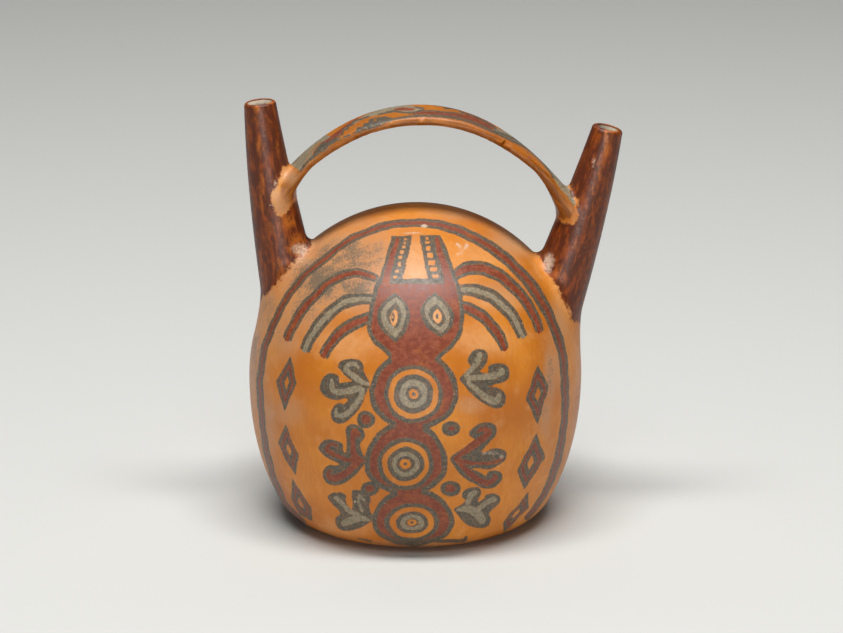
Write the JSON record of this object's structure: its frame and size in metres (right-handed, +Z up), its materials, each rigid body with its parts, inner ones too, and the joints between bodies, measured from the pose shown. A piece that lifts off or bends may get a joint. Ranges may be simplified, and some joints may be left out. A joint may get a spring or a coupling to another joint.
{
  "type": "double-spout vessel",
  "caption": "Hollow round-bodied fired-clay vessel with two tapering spouts joined by an arched strap bridge, painted in burnished slips, standing on a flattened base.",
  "frame": {"origin": "middle of the flat base, where the vessel meets what it stands on", "axes": "+Z up; +X to the right of someone who faces the painted front, along the line through both spouts; the painted front looks towards -Y"},
  "size_m": [0.1671, 0.148, 0.192],
  "materials": {
    "slipped_clay": "burnished slip, satin"
  },
  "bodies": {
    "root": {"vessel": "slipped_clay"}
  },
  "joints": []
}
